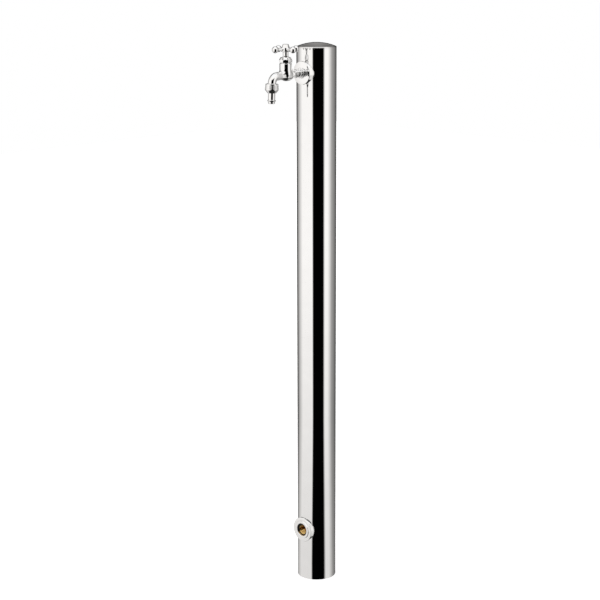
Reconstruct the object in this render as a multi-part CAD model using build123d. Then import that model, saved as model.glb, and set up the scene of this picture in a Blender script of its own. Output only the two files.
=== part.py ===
from build123d import *
import math
import os

# A garden standpipe: a polished steel post with a screw-down tap near its top and a
# threaded water inlet near its foot, joined inside the post by a lagged riser pipe.
# Millimetres. +Z is up, the origin is on the post's axis at its foot, and the tap and
# the inlet both face -Y.

# Post
post_radius = 39.0
post_wall = 1.5
rim_height = 1090.0
tap_drop = 50.0
inlet_height = 106.4
overrun = 5.0

# Cap of the post
cap_band = 2.6
cap_rise = 7.2
cap_sheet = 1.5
cap_rounding = 1.9
skirt_depth = 18.0
skirt_gap = 0.35
ring_section_radius = 1.1
ring_squeeze_gap = 0.05
ring_groove_gap = 0.1

# Brass elbows at both ends of the riser
socket_radius = 14.2
socket_bore_radius = 9.3
socket_bore_depth = 16.0
socket_proud = 2.9
seal_seat_radius = 12.9
seal_seat_depth = 2.0
hole_clearance = 0.4
waterway_radius = 6.0
elbow_radius = 12.5
shoulder_radius = 17.5
shoulder_thickness = 3.5
backing_least = 1.4
branch_thread_radius = 10.4
branch_thread_length = 11.0
branch_drop = 27.0

# Riser pipe, its two union nuts and its lagging
pipe_radius = 8.0
pipe_wall = 1.5
pipe_collar_radius = 9.9
pipe_collar_thickness = 2.0
union_gasket_thickness = 1.5
union_width_over_flats = 27.0
union_top_gap = 1.0
union_lip = 3.0
thread_clearance = 0.15
lagging_radius = 24.0
lagging_gap = 0.3
lagging_end_gap = 40.0

# Saddles that square up the round post for the flat plates
saddle_stand = 1.6
upper_saddle_radius = 21.8
upper_saddle_foot_radius = 24.4
lower_saddle_radius = 23.8
lower_saddle_foot_radius = 24.6
saddle_gasket_sheet = 0.6
saddle_gasket_inset = 1.2
saddle_edge_rounding = 0.6

# Plate, ring nut and sealing ring of the inlet
inlet_plate_radius = 25.3
inlet_plate_thickness = 1.4
plate_edge_rounding = 0.6
ring_nut_radius = 18.5
ring_nut_thickness = 1.5
ring_nut_chamfer = 1.0
ring_nut_mouth_radius = 13.0
ring_nut_hub_radius = 16.1
ring_nut_hub_gap = 0.4
ring_nut_seat_gap = 0.1
seal_ring_inner_radius = 10.2
seal_ring_thickness = 1.3
seal_ring_gap = 0.1

# Plate and shank of the tap
tap_plate_radius = 22.1
tap_plate_thickness = 1.4
tap_plate_dish = 0.7
shank_radius = 9.2
shank_length = 15.0
shank_bore_radius = 4.6
plate_hole_clearance = 0.4
shank_collar_radius = 10.6
shank_collar_share = 0.066
first_bead_radius = 8.7
first_bead_share = 0.139
bead_groove_radius = 6.7
bead_groove_share = 0.11
second_bead_radius = 8.1
second_bead_share = 0.122
neck_radius = 6.8
neck_share = 0.104
bead_rounding_share = 0.049

# Body of the tap
barrel_reach = 82.7
barrel_radius = 12.0
barrel_height = 20.8
belly_radius = 12.6
belly_back = 7.0
belly_rounding = 9.0
belly_front = 11.0
body_wall = 2.0
neck_top_height = 26.5
barrel_neck_radius = 10.2
barrel_edge_rounding = 1.0
spout_axis_drop = 0.8
spout_radius = 7.8
spout_bore_radius = 5.6
spout_fall = 2.4
spout_bend_radius = 13.0
nozzle_reach = 118.4
nozzle_tilt = 2.5
outlet_thread_radius = 10.4
outlet_thread_start = 12.0
outlet_drop = 21.8
chamber_radius = 10.0
lower_chamber_radius = 8.4
lower_chamber_drop = 7.4
web_under_drop = 2.6
seat_rise = 1.2
seat_bore_radius = 5.5
seat_rim = 1.5
upper_chamber_rise = 10.0
pocket_half_width = 4.0
pocket_length = 4.0
pocket_top_rise = 4.6
jumper_side_gap = 0.8
window_half_width = 4.4
window_top_rise = 3.4

# Valve inside the body
thread_bore_radius = 7.6
running_clearance = 0.08
jumper_radius = 7.2
jumper_thickness = 1.8
jumper_stem_radius = 2.4
jumper_stem_length = 8.0
jumper_stud_radius = 1.6
jumper_washer_radius = 6.8
jumper_washer_thickness = 2.0
jumper_nut_over_flats = 6.0
jumper_nut_thickness = 1.8
jumper_nut_gap = 0.05
stud_end = 0.6

# Spindle, packing and cap nut
spindle_radius = 3.5
spindle_thread_length = 11.0
spindle_foot_radius = 6.4
spindle_foot_length = 4.2
stem_hole_clearance = 0.15
stem_hole_depth = 8.6
packing_washer_radius = 9.9
packing_washer_thickness = 1.0
packing_radius = 9.0
packing_top_radius = 6.0
packing_top_gap = 0.1
cap_nut_over_flats = 24.6
cap_nut_side_count = 8
cap_nut_height = 9.4
cap_nut_chamfer_height = 5.4
cap_nut_roof = 2.3
cap_nut_top_radius = 9.9
cap_nut_rim_radius = 6.2
cap_nut_rim_height = 1.5
cap_nut_skirt_gap = 2.0
cap_nut_turn = 22.5

# Cross handle, its screw and the plain disc over the screw
handle_base_rise = 42.8
hub_radius = 8.6
hub_skirt_height = 3.4
hub_skirt_rounding = 1.2
hub_waist_radius = 7.0
hub_waist_height = 8.2
hub_top_radius = 5.7
hub_height = 14.2
hub_boss_radius = 5.4
hub_boss_gap = 1.0
square_rise = 1.4
square_width = 5.2
square_gap = 0.1
square_height = 7.4
screw_head_radius = 3.4
screw_head_height = 2.4
screw_radius = 1.5
screw_length = 6.0
screw_hole_clearance = 0.2
screw_floor = 0.9
screw_slot_width = 0.8
screw_slot_depth = 0.9
disc_radius = 4.7
disc_thickness = 1.3
disc_gap = 0.15
disc_rounding = 0.5
arm_reach = 24.0
arm_rise = 4.4
arm_root_radius = 3.4
arm_tip_radius = 2.5
arm_collar_radius = 3.4
arm_collar_length = 1.6
knob_radius = 6.3
arm_turn = -9.0
arm_count = 4

# Hose union under the spout
union_nut_top_gap = 0.7
union_nut_radius = 13.1
union_nut_top_radius = 12.1
union_nut_height = 17.4
union_nut_grip_height = 11.2
union_nut_foot_radius = 8.1
union_nut_rounding = 0.8
flute_count = 36
flute_radius = 0.5
flute_margin = 2.2
nipple_gasket_thickness = 1.5
nipple_gasket_radius = 10.2
nipple_flange_radius = 10.2
nipple_flange_thickness = 2.0
nipple_radius = 6.8
nipple_bore_radius = 5.0
nipple_length = 26.7
bead_radius = 8.1
bead_land = 1.0
bead_upper_slope = 0.8
bead_lower_slope = 2.3
tip_length = 3.4
tip_radius = 6.5
tip_chamfer = 0.8
sliding_gap = 0.3

# Places worked out from the sizes above
inner_radius = post_radius - post_wall
tap_height = rim_height - tap_drop
seam_height = rim_height - cap_band
hole_radius = socket_radius + hole_clearance
shoulder_face = math.sqrt(inner_radius**2 - shoulder_radius**2) - backing_least
saddle_face = post_radius + saddle_stand
saddle_back_radius = post_radius + saddle_gasket_sheet
socket_mouth = post_radius + socket_proud
seal_seat_face = socket_mouth - seal_seat_depth
branch_end = branch_drop + branch_thread_length
tap_plate_face = saddle_face + tap_plate_thickness
spout_height = tap_height - spout_axis_drop
seat_height = tap_height + seat_rise
jumper_face = seat_height + jumper_washer_thickness
spindle_foot = jumper_face + jumper_thickness
thread_top = spindle_foot + spindle_foot_length + spindle_thread_length
neck_top = tap_height + neck_top_height
cap_nut_foot = tap_height + barrel_height + cap_nut_skirt_gap
cap_nut_top = cap_nut_foot + cap_nut_height
cap_nut_ceiling = cap_nut_top - cap_nut_roof
cap_nut_rim_top = cap_nut_top + cap_nut_rim_height
handle_base = tap_height + handle_base_rise
over_tap = Pos(0, -barrel_reach, 0)
bend_height = spout_height - spout_fall
along_nozzle = Pos(0, -nozzle_reach, bend_height) * Rot(-nozzle_tilt, 0, 0)


# Helpers

def outline(corners):
    """Close a flat outline whose corners are (across, up) or (across, up, rounding)."""
    places = [Vector(corner[0], corner[1]) for corner in corners]
    stops = []
    edges = []
    for index, corner in enumerate(corners):
        here = places[index]
        back = (places[index - 1] - here).normalized()
        ahead = (places[(index + 1) % len(places)] - here).normalized()
        rounding = corner[2] if len(corner) > 2 else 0
        if rounding == 0:
            stops.append((here, here))
            continue
        half_angle = math.radians(back.get_angle(ahead)) / 2
        start = here + back * (rounding / math.tan(half_angle))
        end = here + ahead * (rounding / math.tan(half_angle))
        inward = (back + ahead).normalized()
        middle = here + inward * (rounding / math.sin(half_angle) - rounding)
        stops.append((start, end))
        edges.append(ThreePointArc(start, middle, end))
    for index, (start, _) in enumerate(stops):
        edges.append(Line(stops[index - 1][1], start))
    return make_face(edges)


def turned(corners):
    """Turn an outline of (radius, height) corners about the Z axis."""
    return revolve(Plane.XZ * outline(corners), Axis.Z)


def upright(radius, low, high):
    """A round bar about the Z axis from one height to another."""
    return Pos(0, 0, low) * Cylinder(radius, high - low, align=(Align.CENTER, Align.CENTER, Align.MIN))


def ring(outer, inner, low, high):
    """A plain ring about the Z axis."""
    return upright(outer, low, high) - upright(inner, low - overrun, high + overrun)


def flat_sided(over_flats, side_count, low, high):
    """An upright bar with this many flats."""
    flat = RegularPolygon(over_flats / 2, side_count, major_radius=False)
    return Pos(0, 0, low) * extrude(flat, high - low)


def out_of_post(height):
    """Lay an upright piece down so that it points away from the post at this height."""
    return Pos(0, 0, height) * Rot(90, 0, 0)


def block(low, high):
    """A box between two corners."""
    size = [high[axis] - low[axis] for axis in range(3)]
    centre = [(high[axis] + low[axis]) / 2 for axis in range(3)]
    return Pos(*centre) * Box(*size)


# Post tube: one length of polished tube with a hole for the tap and one for the inlet

def post_tube():
    tube = ring(post_radius, inner_radius, 0, seam_height)
    drill = upright(hole_radius, 0, post_radius + overrun)
    for height in (tap_height, inlet_height):
        tube -= out_of_post(height) * drill
    return tube


# Cap: a pressed sheet lid with a shallow dome, a rounded band and a skirt in the tube

skirt_radius = inner_radius - skirt_gap
ring_height = seam_height - skirt_depth / 2
groove_depth = 2 * ring_section_radius - skirt_gap + ring_groove_gap


def dome_under(rise, edge_radius, edge_height):
    """A ball cut flat: the space under a dome of this rise over this edge."""
    ball_radius = (edge_radius**2 + rise**2) / (2 * rise)
    centre = edge_height + rise - ball_radius
    dome = Pos(0, 0, centre) * Sphere(ball_radius)
    return dome & upright(2 * post_radius, edge_height, edge_height + 2 * rise)


def top_cap():
    band = turned([
        (0, seam_height),
        (post_radius, seam_height),
        (post_radius, rim_height, cap_rounding),
        (0, rim_height),
    ])
    lid = band + dome_under(cap_rise, post_radius - cap_rounding, rim_height)
    skirt = ring(skirt_radius, skirt_radius - 2 * cap_sheet, seam_height - skirt_depth, seam_height)
    hollow = upright(skirt_radius - 2 * cap_sheet, seam_height, rim_height - cap_sheet)
    hollow += dome_under(cap_rise, skirt_radius - 2 * cap_sheet, rim_height - cap_sheet)
    groove_half = ring_section_radius + ring_groove_gap
    groove = ring(
        skirt_radius + overrun, skirt_radius - groove_depth, ring_height - groove_half, ring_height + groove_half
    )
    return lid + skirt - hollow - groove


def cap_seal_ring():
    centre_radius = inner_radius - ring_squeeze_gap - ring_section_radius
    return Pos(0, 0, ring_height) * Torus(centre_radius, ring_section_radius)


# Elbows: brass, with a socket through the post's wall, a shoulder behind the backing
# washer and a threaded branch that points along the riser

def elbow(mouth):
    """An elbow pointing out along +Z with its branch along -Y, before it is laid down."""
    shoulder_back = shoulder_face - shoulder_thickness
    solid = upright(elbow_radius, 0, shoulder_back + shoulder_thickness / 2)
    solid += upright(shoulder_radius, shoulder_back, shoulder_face)
    solid += upright(socket_radius, shoulder_back, mouth)
    solid += Sphere(elbow_radius)
    lying = Rot(90, 0, 0)
    solid += lying * upright(elbow_radius, 0, branch_drop)
    solid += lying * upright(branch_thread_radius, branch_drop - overrun, branch_end)
    solid -= upright(socket_bore_radius, mouth - socket_bore_depth, mouth + overrun)
    solid -= upright(waterway_radius, 0, mouth)
    solid -= Sphere(waterway_radius)
    solid -= lying * upright(waterway_radius, 0, branch_end + overrun)
    return solid


def upper_elbow():
    return out_of_post(tap_height) * elbow(saddle_face)


def lower_elbow():
    seal_seat = upright(seal_seat_radius, seal_seat_face, socket_mouth + overrun)
    return out_of_post(inlet_height) * Rot(0, 0, 180) * (elbow(socket_mouth) - seal_seat)


def backing_washer(height):
    """A washer behind the post's wall: round in front to fit the wall, flat behind."""
    washer = out_of_post(height) * ring(shoulder_radius, hole_radius, shoulder_face, post_radius)
    return washer & upright(inner_radius, height - 2 * shoulder_radius, height + 2 * shoulder_radius)


# Saddles: flat in front and hollowed behind to sit on the round post, over thin gaskets

def saddle_cone(face_radius, foot_radius, hole, rounding):
    """A lying cone that widens from the flat face to where its foot meets the post's side."""
    foot_depth = math.sqrt(saddle_back_radius**2 - foot_radius**2)
    return turned([
        (hole, 0),
        (foot_radius, 0),
        (foot_radius, foot_depth),
        (face_radius, saddle_face, rounding),
        (hole, saddle_face),
    ])


def saddle(height, face_radius, foot_radius, hole):
    cone = saddle_cone(face_radius, foot_radius, hole, saddle_edge_rounding)
    back = upright(saddle_back_radius, height - 2 * foot_radius, height + 2 * foot_radius)
    return out_of_post(height) * cone - back


def saddle_gasket(height, face_radius, foot_radius, hole):
    sheet = ring(saddle_back_radius, post_radius, height - 2 * foot_radius, height + 2 * foot_radius)
    face = face_radius - saddle_gasket_inset
    foot = foot_radius - saddle_gasket_inset
    return sheet & out_of_post(height) * saddle_cone(face, foot, hole, 0)


# Inlet: plate, ring nut on the socket's outer thread, and the black ring in the socket

plate_face = saddle_face + inlet_plate_thickness
nut_face = plate_face + ring_nut_thickness
hub_hole_radius = ring_nut_hub_radius + hole_clearance
upper_saddle_radii = (upper_saddle_radius, upper_saddle_foot_radius)
lower_saddle_radii = (lower_saddle_radius, lower_saddle_foot_radius)


def inlet_plate():
    return out_of_post(inlet_height) * turned([
        (hub_hole_radius, saddle_face),
        (inlet_plate_radius, saddle_face),
        (inlet_plate_radius, plate_face, plate_edge_rounding),
        (hub_hole_radius, plate_face),
    ])


def inlet_ring_nut():
    thread_radius = socket_radius + thread_clearance
    lip_face = socket_mouth + ring_nut_seat_gap
    hub_end = post_radius + ring_nut_hub_gap
    return out_of_post(inlet_height) * turned([
        (thread_radius, hub_end),
        (ring_nut_hub_radius, hub_end),
        (ring_nut_hub_radius, plate_face),
        (ring_nut_radius, plate_face),
        (ring_nut_radius - ring_nut_chamfer / 2, nut_face, ring_nut_chamfer / 2),
        (ring_nut_mouth_radius + ring_nut_chamfer / 2, nut_face),
        (ring_nut_mouth_radius, nut_face - ring_nut_chamfer / 2),
        (ring_nut_mouth_radius, lip_face),
        (thread_radius, lip_face),
    ])


def inlet_seal_ring():
    outer = seal_seat_radius - seal_ring_gap
    return out_of_post(inlet_height) * ring(
        outer, seal_ring_inner_radius, seal_seat_face, seal_seat_face + seal_ring_thickness
    )


# Riser: pipe with a collar at each end, held to the elbows by gaskets and union nuts

riser_low = inlet_height + branch_end + union_gasket_thickness
riser_high = tap_height - branch_end - union_gasket_thickness


def riser_pipe():
    pipe = upright(pipe_radius, riser_low, riser_high)
    pipe += upright(pipe_collar_radius, riser_low, riser_low + pipe_collar_thickness)
    pipe += upright(pipe_collar_radius, riser_high - pipe_collar_thickness, riser_high)
    return pipe - upright(pipe_radius - pipe_wall, riser_low - overrun, riser_high + overrun)


def union_gasket(low):
    return ring(pipe_collar_radius, waterway_radius, low, low + union_gasket_thickness)


def union_nut():
    """A hexagon nut that stands on z = 0 with its lip down and its thread up."""
    below_thread = union_lip + pipe_collar_thickness + union_gasket_thickness
    top = below_thread + branch_thread_length - union_top_gap
    nut = flat_sided(union_width_over_flats, 6, 0, top)
    nut -= upright(pipe_radius + thread_clearance, -overrun, top)
    nut -= upright(branch_thread_radius + thread_clearance, union_lip, top + overrun)
    return nut


def upper_union_nut():
    return Pos(0, 0, riser_high - pipe_collar_thickness - union_lip) * union_nut()


def lower_union_nut():
    return Pos(0, 0, riser_low + pipe_collar_thickness + union_lip) * Rot(180, 0, 0) * union_nut()


def pipe_lagging():
    low = riser_low + lagging_end_gap
    high = riser_high - lagging_end_gap
    return ring(lagging_radius, pipe_radius + lagging_gap, low, high)


# Tap: plate against the post, then the cast body with its shank, barrel and spout

def tap_plate():
    hole = shank_radius + plate_hole_clearance
    return out_of_post(tap_height) * turned([
        (hole, saddle_face),
        (tap_plate_radius, saddle_face),
        (tap_plate_radius, tap_plate_face - tap_plate_dish),
        (shank_collar_radius, tap_plate_face),
        (hole, tap_plate_face),
    ])


def shank_and_belly():
    """The lying part of the body, turned about the tap's own axis."""
    shank_end = saddle_face - shank_length
    span = barrel_reach - belly_back - tap_plate_face
    collar_end = tap_plate_face + span * shank_collar_share
    first_bead_end = collar_end + span * first_bead_share
    groove_end = first_bead_end + span * bead_groove_share
    second_bead_end = groove_end + span * second_bead_share
    neck_end = second_bead_end + span * neck_share
    bead_rounding = span * bead_rounding_share
    return turned([
        (0, shank_end),
        (shank_radius, shank_end),
        (shank_radius, tap_plate_face),
        (shank_collar_radius, tap_plate_face),
        (shank_collar_radius, collar_end),
        (bead_groove_radius, collar_end),
        (first_bead_radius, collar_end + bead_rounding, bead_rounding),
        (first_bead_radius, first_bead_end - bead_rounding / 2, bead_rounding),
        (bead_groove_radius, first_bead_end),
        (bead_groove_radius, groove_end),
        (second_bead_radius, groove_end + bead_rounding / 2, bead_rounding / 2),
        (second_bead_radius, second_bead_end - bead_rounding / 2, bead_rounding / 2),
        (neck_radius, second_bead_end),
        (neck_radius, neck_end, bead_rounding),
        (belly_radius, barrel_reach - belly_back, belly_rounding),
        (belly_radius, barrel_reach + barrel_radius - belly_rounding, belly_rounding),
        (spout_radius, barrel_reach + belly_front),
        (0, barrel_reach + belly_front),
    ])


def spout_path():
    tilt = math.radians(nozzle_tilt)
    corner = Vector(0, -nozzle_reach, bend_height)
    end = corner + Vector(0, -math.sin(tilt), -math.cos(tilt)) * outlet_drop
    return FilletPolyline((0, -barrel_reach, spout_height), corner, end, radius=spout_bend_radius)


def along_spout(radius):
    path = spout_path()
    return sweep(Plane(path @ 0, z_dir=path % 0) * Circle(radius), path=path)


def body_waterways():
    """The S-shaped way through the body: in below the seat, up, and out above it."""
    in_wall = barrel_reach - jumper_radius - jumper_side_gap - body_wall
    out_wall = barrel_reach + chamber_radius + body_wall
    chamber_floor = tap_height - lower_chamber_drop
    web_under = tap_height - web_under_drop
    upper_chamber_top = tap_height + upper_chamber_rise
    shank_bore = out_of_post(tap_height) * upright(shank_bore_radius, 0, in_wall)
    pocket = block(
        (-pocket_half_width, -in_wall, chamber_floor),
        (pocket_half_width, -in_wall + pocket_length, tap_height + pocket_top_rise),
    )
    pocket += block(
        (-pocket_half_width, -barrel_reach, chamber_floor),
        (pocket_half_width, -in_wall, web_under),
    )
    lower_chamber = over_tap * upright(lower_chamber_radius, chamber_floor, web_under)
    upper_chamber = over_tap * upright(chamber_radius, tap_height, upper_chamber_top)
    upper_chamber -= block(
        (-barrel_reach, -in_wall - body_wall, web_under),
        (barrel_reach, 0, tap_height + pocket_top_rise + body_wall),
    )
    seat_ring = over_tap * ring(seat_bore_radius + seat_rim, seat_bore_radius, tap_height, seat_height)
    seat_bore = over_tap * upright(seat_bore_radius, web_under - overrun / 2, seat_height)
    window = block(
        (-window_half_width, -out_wall - body_wall / 2, tap_height),
        (window_half_width, -barrel_reach - seat_bore_radius - seat_rim, tap_height + window_top_rise),
    )
    thread_bore = over_tap * upright(thread_bore_radius, upper_chamber_top - overrun, neck_top + overrun)
    before_spout = block(
        (-barrel_reach, -out_wall, tap_height - barrel_reach),
        (barrel_reach, 0, neck_top),
    )
    spout_bore = along_spout(spout_bore_radius) - before_spout
    spout_bore += along_nozzle * upright(spout_bore_radius, -outlet_drop - overrun, -outlet_drop + overrun)
    ways = shank_bore + pocket + lower_chamber + upper_chamber + window + thread_bore + spout_bore
    return ways - seat_ring + seat_bore


def tap_body():
    body = out_of_post(tap_height) * shank_and_belly()
    body += over_tap * turned([
        (0, tap_height),
        (barrel_radius, tap_height),
        (barrel_radius, tap_height + barrel_height, barrel_edge_rounding),
        (barrel_neck_radius, tap_height + barrel_height),
        (barrel_neck_radius, neck_top),
        (0, neck_top),
    ])
    body += along_spout(spout_radius)
    body += along_nozzle * upright(outlet_thread_radius, -outlet_drop, -outlet_thread_start)
    return body - body_waterways()


# Valve: the loose jumper with its washer and nut, which closes the seat

def jumper_valve():
    jumper = upright(jumper_radius, jumper_face, spindle_foot)
    jumper += upright(jumper_stem_radius, jumper_face, spindle_foot + jumper_stem_length)
    stud_low = seat_height - jumper_nut_gap - jumper_nut_thickness - stud_end
    jumper += upright(jumper_stud_radius, stud_low, jumper_face)
    return over_tap * jumper


def jumper_washer():
    hole = jumper_stud_radius + stem_hole_clearance
    return over_tap * ring(jumper_washer_radius, hole, seat_height, jumper_face)


def jumper_nut():
    top = seat_height - jumper_nut_gap
    nut = flat_sided(jumper_nut_over_flats, 6, top - jumper_nut_thickness, top)
    hole = jumper_stud_radius + stem_hole_clearance / 2
    return over_tap * (nut - upright(hole, top - jumper_nut_thickness - overrun, top + overrun))


# Spindle: a threaded part in the barrel, a round stem through the packing and a square

square_foot = handle_base + square_rise
square_top = square_foot + square_height
screw_seat = square_top + square_gap


def spindle():
    thread_radius = thread_bore_radius - running_clearance
    thread_low = thread_top - spindle_thread_length
    body = upright(spindle_foot_radius, spindle_foot, thread_low)
    body += upright(thread_radius, thread_low, thread_top)
    body += upright(spindle_radius, thread_top, square_foot)
    body += block(
        (-square_width / 2, -square_width / 2, square_foot),
        (square_width / 2, square_width / 2, square_top),
    )
    stem_hole_radius = jumper_stem_radius + stem_hole_clearance
    body -= upright(stem_hole_radius, spindle_foot - overrun, spindle_foot + stem_hole_depth)
    thread_hole_radius = screw_radius + screw_hole_clearance / 2
    body -= upright(thread_hole_radius, square_top - screw_length, square_top + overrun)
    return over_tap * body


def packing_washer():
    hole = spindle_radius + running_clearance
    return over_tap * ring(packing_washer_radius, hole, neck_top, neck_top + packing_washer_thickness)


def gland_packing():
    low = neck_top + packing_washer_thickness
    high = cap_nut_ceiling - packing_top_gap
    hole = spindle_radius + running_clearance
    return over_tap * turned([
        (hole, low),
        (packing_radius, low),
        (packing_top_radius, high),
        (hole, high),
    ])


def cap_nut():
    corner_radius = cap_nut_over_flats / 2 / math.cos(math.pi / cap_nut_side_count)
    nut = flat_sided(cap_nut_over_flats, cap_nut_side_count, cap_nut_foot, cap_nut_top)
    nut &= turned([
        (0, cap_nut_foot),
        (corner_radius, cap_nut_foot),
        (corner_radius, cap_nut_top - cap_nut_chamfer_height, cap_nut_chamfer_height / 2),
        (cap_nut_top_radius, cap_nut_top),
        (0, cap_nut_top),
    ])
    nut += upright(cap_nut_rim_radius, cap_nut_ceiling, cap_nut_rim_top)
    nut -= upright(barrel_neck_radius + thread_clearance, cap_nut_foot - overrun, cap_nut_ceiling)
    nut -= upright(spindle_radius + sliding_gap, cap_nut_ceiling, cap_nut_rim_top + overrun)
    return over_tap * Rot(0, 0, cap_nut_turn) * nut


# Handle: a domed hub with a boss under it and four tapering arms that end in balls, the
# screw that holds it on the square, and a plain disc over the screw

disc_seat = handle_base + hub_height - disc_thickness
boss_foot = cap_nut_rim_top + hub_boss_gap


def handle_arm():
    """One arm along +X at its own height."""
    collar_end = arm_reach - knob_radius + arm_collar_length / 2
    collar_start = collar_end - arm_collar_length
    arm = turned([
        (0, 0),
        (arm_root_radius, 0),
        (arm_tip_radius, collar_start),
        (arm_collar_radius, collar_start, arm_collar_length / 4),
        (arm_collar_radius, collar_end, arm_collar_length / 4),
        (arm_tip_radius, collar_end),
        (arm_tip_radius, arm_reach),
        (0, arm_reach),
    ])
    return Rot(0, 90, 0) * arm + Pos(arm_reach, 0, 0) * Sphere(knob_radius)


def cross_handle():
    top = handle_base + hub_height
    hub = turned([
        (0, handle_base),
        (hub_radius, handle_base),
        (hub_radius, handle_base + hub_skirt_height, hub_skirt_rounding),
        (hub_waist_radius, handle_base + hub_waist_height, hub_skirt_height),
        (hub_top_radius, top, hub_skirt_rounding / 2),
        (0, top),
    ])
    for index in range(arm_count):
        turn = arm_turn + index * 360 / arm_count
        hub += Pos(0, 0, handle_base + arm_rise) * Rot(0, 0, turn) * handle_arm()
    hub += upright(hub_boss_radius, boss_foot, square_foot)
    hub -= upright(spindle_radius + square_gap, boss_foot - overrun, square_foot)
    half_square = square_width / 2 + square_gap / 2
    hub -= block((-half_square, -half_square, square_foot), (half_square, half_square, screw_seat))
    hub -= upright(screw_radius + screw_hole_clearance, screw_seat - overrun, top)
    hub -= upright(screw_head_radius + screw_hole_clearance, screw_seat + screw_floor, top)
    hub -= upright(disc_radius + disc_gap, disc_seat, top + overrun)
    return over_tap * hub


def handle_screw():
    seat = screw_seat + screw_floor
    screw = upright(screw_head_radius, seat, seat + screw_head_height)
    screw += upright(screw_radius, square_top - screw_length + square_gap, seat)
    slot = block(
        (-screw_head_radius, -screw_slot_width / 2, seat + screw_head_height - screw_slot_depth),
        (screw_head_radius, screw_slot_width / 2, seat + screw_head_height),
    )
    return over_tap * (screw - slot)


def handle_disc():
    top = disc_seat + disc_thickness
    return over_tap * turned([
        (0, disc_seat),
        (disc_radius, disc_seat),
        (disc_radius, top, disc_rounding),
        (0, top),
    ])


# Hose union: a grip nut on the spout's thread that holds the nipple and its gasket

nipple_top = -outlet_drop - nipple_gasket_thickness
lip_top = nipple_top - nipple_flange_thickness
union_top = -outlet_thread_start - union_nut_top_gap
union_foot = union_top - union_nut_height


def nipple_gasket():
    return along_nozzle * ring(nipple_gasket_radius, nipple_bore_radius, nipple_top, -outlet_drop)


def hose_nipple():
    tip = nipple_top - nipple_length
    bead_foot = tip + tip_length
    bead_low = bead_foot + bead_lower_slope
    bead_high = bead_low + bead_land
    return along_nozzle * turned([
        (nipple_bore_radius, tip),
        (tip_radius - tip_chamfer, tip),
        (tip_radius, tip + tip_chamfer),
        (tip_radius, bead_foot),
        (bead_radius, bead_low),
        (bead_radius, bead_high),
        (nipple_radius, bead_high + bead_upper_slope),
        (nipple_radius, lip_top),
        (nipple_flange_radius, lip_top),
        (nipple_flange_radius, nipple_top),
        (nipple_bore_radius, nipple_top),
    ])


def coupling_nut():
    lip_hole = nipple_radius + sliding_gap
    thread_radius = outlet_thread_radius + thread_clearance
    grip_low = union_top - union_nut_grip_height
    nut = turned([
        (lip_hole, union_foot),
        (union_nut_foot_radius, union_foot),
        (union_nut_radius, grip_low, union_nut_rounding),
        (union_nut_top_radius, union_top, union_nut_rounding),
        (thread_radius, union_top),
        (thread_radius, lip_top),
        (lip_hole, lip_top),
    ])
    flute_low = grip_low + flute_margin
    flute_high = union_top - flute_margin
    for index in range(flute_count):
        turn = Rot(0, 0, index * 360 / flute_count)
        nut -= turn * Pos(union_nut_radius, 0, 0) * upright(flute_radius, flute_low, flute_high)
    return along_nozzle * nut


pieces = {
    "post_tube": post_tube(),
    "top_cap": top_cap(),
    "cap_seal_ring": cap_seal_ring(),
    "upper_elbow": upper_elbow(),
    "lower_elbow": lower_elbow(),
    "upper_backing_washer": backing_washer(tap_height),
    "lower_backing_washer": backing_washer(inlet_height),
    "upper_saddle": saddle(tap_height, *upper_saddle_radii, hole_radius),
    "lower_saddle": saddle(inlet_height, *lower_saddle_radii, hub_hole_radius),
    "upper_saddle_gasket": saddle_gasket(tap_height, *upper_saddle_radii, hole_radius),
    "lower_saddle_gasket": saddle_gasket(inlet_height, *lower_saddle_radii, hub_hole_radius),
    "inlet_plate": inlet_plate(),
    "inlet_ring_nut": inlet_ring_nut(),
    "inlet_seal_ring": inlet_seal_ring(),
    "riser_pipe": riser_pipe(),
    "upper_union_nut": upper_union_nut(),
    "lower_union_nut": lower_union_nut(),
    "upper_union_gasket": union_gasket(riser_high),
    "lower_union_gasket": union_gasket(riser_low - union_gasket_thickness),
    "pipe_lagging": pipe_lagging(),
    "tap_plate": tap_plate(),
    "tap_body": tap_body(),
    "cap_nut": cap_nut(),
    "packing_washer": packing_washer(),
    "gland_packing": gland_packing(),
    "jumper_valve": jumper_valve(),
    "jumper_washer": jumper_washer(),
    "jumper_nut": jumper_nut(),
    "spindle": spindle(),
    "cross_handle": cross_handle(),
    "handle_screw": handle_screw(),
    "handle_disc": handle_disc(),
    "coupling_nut": coupling_nut(),
    "nipple_gasket": nipple_gasket(),
    "hose_nipple": hose_nipple(),
}

os.makedirs("parts", exist_ok=True)
for name, piece in pieces.items():
    export_step(piece, f"parts/{name}.step")
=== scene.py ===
import bpy
import bmesh
import math
import numpy as np
from mathutils import Matrix, Vector


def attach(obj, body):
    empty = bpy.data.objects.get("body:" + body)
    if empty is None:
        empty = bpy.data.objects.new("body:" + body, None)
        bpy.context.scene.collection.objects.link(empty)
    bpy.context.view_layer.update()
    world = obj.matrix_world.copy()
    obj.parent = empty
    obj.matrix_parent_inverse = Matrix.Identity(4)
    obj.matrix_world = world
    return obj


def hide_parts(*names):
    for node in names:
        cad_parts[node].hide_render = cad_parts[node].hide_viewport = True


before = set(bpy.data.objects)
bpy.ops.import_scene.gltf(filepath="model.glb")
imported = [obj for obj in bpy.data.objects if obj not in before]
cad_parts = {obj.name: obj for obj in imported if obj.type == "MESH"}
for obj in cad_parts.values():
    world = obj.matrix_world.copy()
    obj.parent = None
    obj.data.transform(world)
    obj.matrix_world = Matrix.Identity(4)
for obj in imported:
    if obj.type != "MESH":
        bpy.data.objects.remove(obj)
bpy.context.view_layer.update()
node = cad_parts
mm = 0.001

# A garden standpipe: a polished post with a screw-down tap near its top and a threaded
# water inlet near its foot. Lengths are in millimetres until a finished mesh is scaled.
# The scene comes first: a pale floor, a white room and a long lens a little above the cap.

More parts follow.
